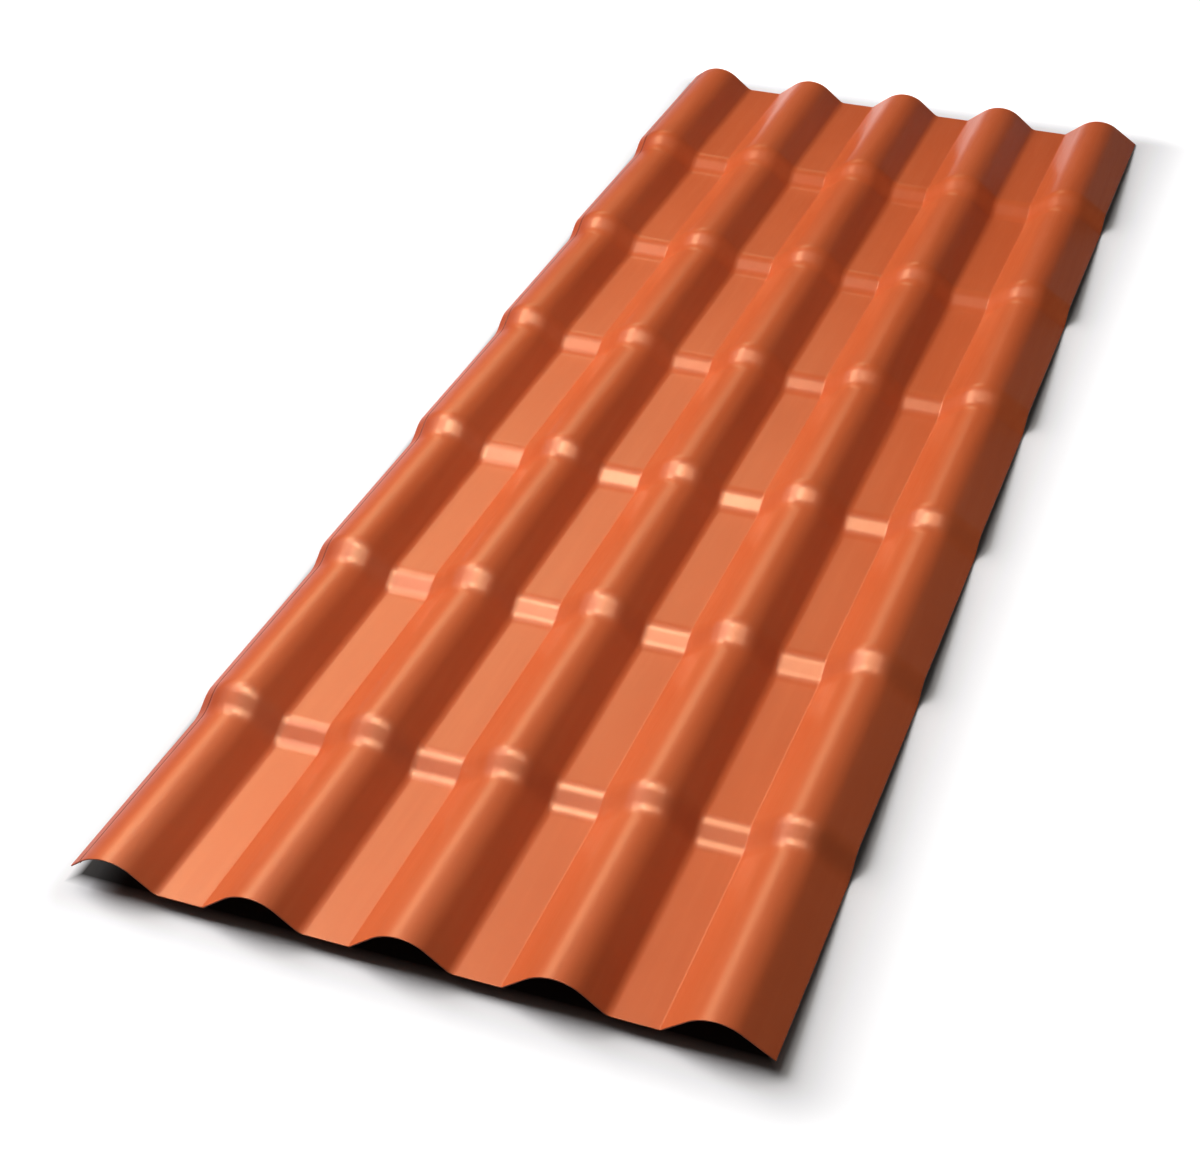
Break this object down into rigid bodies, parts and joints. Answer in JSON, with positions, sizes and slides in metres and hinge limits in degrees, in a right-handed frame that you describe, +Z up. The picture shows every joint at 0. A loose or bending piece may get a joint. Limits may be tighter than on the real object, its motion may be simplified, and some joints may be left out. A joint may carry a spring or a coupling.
{
  "type": "pvc roof sheet",
  "caption": "Terracotta plastic roof sheet moulded like clay tiles, with rounded rolls, flat pans and stepped cross risers along its length.",
  "frame": {"origin": "centre of the bounding box at floor level, with the sheet lying face up", "axes": "+Z up out of the weather face, +Y along the rolls from the near (eave) end to the far (ridge) end, +X across the rolls towards the toed edge"},
  "size_m": [0.88, 2.42, 0.0565],
  "materials": {
    "pvc_terracotta": "semi-gloss terracotta, coloured through"
  },
  "bodies": {
    "root": {"roof_sheet": "pvc_terracotta"}
  },
  "joints": []
}
